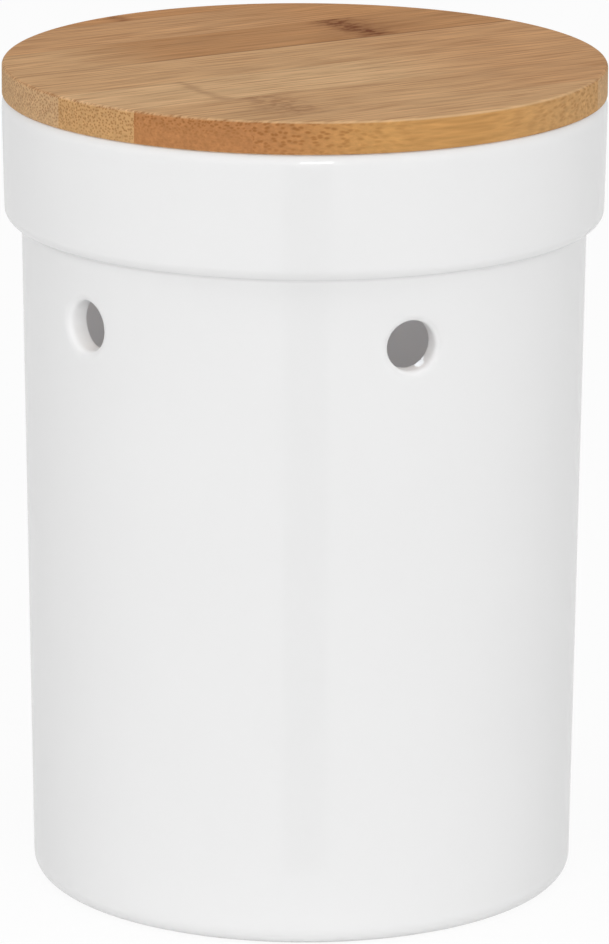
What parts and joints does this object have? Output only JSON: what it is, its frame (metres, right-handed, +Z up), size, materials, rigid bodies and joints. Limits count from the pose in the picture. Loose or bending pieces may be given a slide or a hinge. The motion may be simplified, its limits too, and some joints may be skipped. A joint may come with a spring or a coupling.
{
  "type": "onion keeper",
  "caption": "Round glazed jar with a wide collar and air vents below it, closed by a flat bamboo lid whose plug sits in the mouth on a silicone ring.",
  "frame": {"origin": "centre of the foot ring, on the surface that the jar stands on", "axes": "+Z up along the jar's axis; -Y through the middle of one vent"},
  "size_m": [0.1442, 0.1442, 0.2],
  "materials": {
    "glaze": "gloss white glaze",
    "bamboo": "sanded and oiled bamboo, satin",
    "silicone": "moulded silicone, satin"
  },
  "bodies": {
    "jar": {"jar": "glaze"},
    "seal": {"seal_ring": "silicone"},
    "lid": {"lid_stave_1": "bamboo", "lid_stave_2": "bamboo", "lid_stave_3": "bamboo", "lid_stave_4": "bamboo", "lid_stave_5": "bamboo", "lid_stave_6": "bamboo", "lid_stave_7": "bamboo", "plug_stave_1": "bamboo", "plug_stave_2": "bamboo", "plug_stave_3": "bamboo", "plug_stave_4": "bamboo", "plug_stave_5": "bamboo", "plug_stave_6": "bamboo"}
  },
  "joints": [
    {"name": "lid_lift", "type": "slide", "parent": "jar", "child": "seal", "axis": [0, 0, 1], "range_m": [0, 0.1]},
    {"name": "lid_turn", "type": "hinge", "parent": "seal", "child": "lid", "pos_m": [0, 0, 0.1882], "axis": [0, 0, 1], "continuous": true}
  ]
}
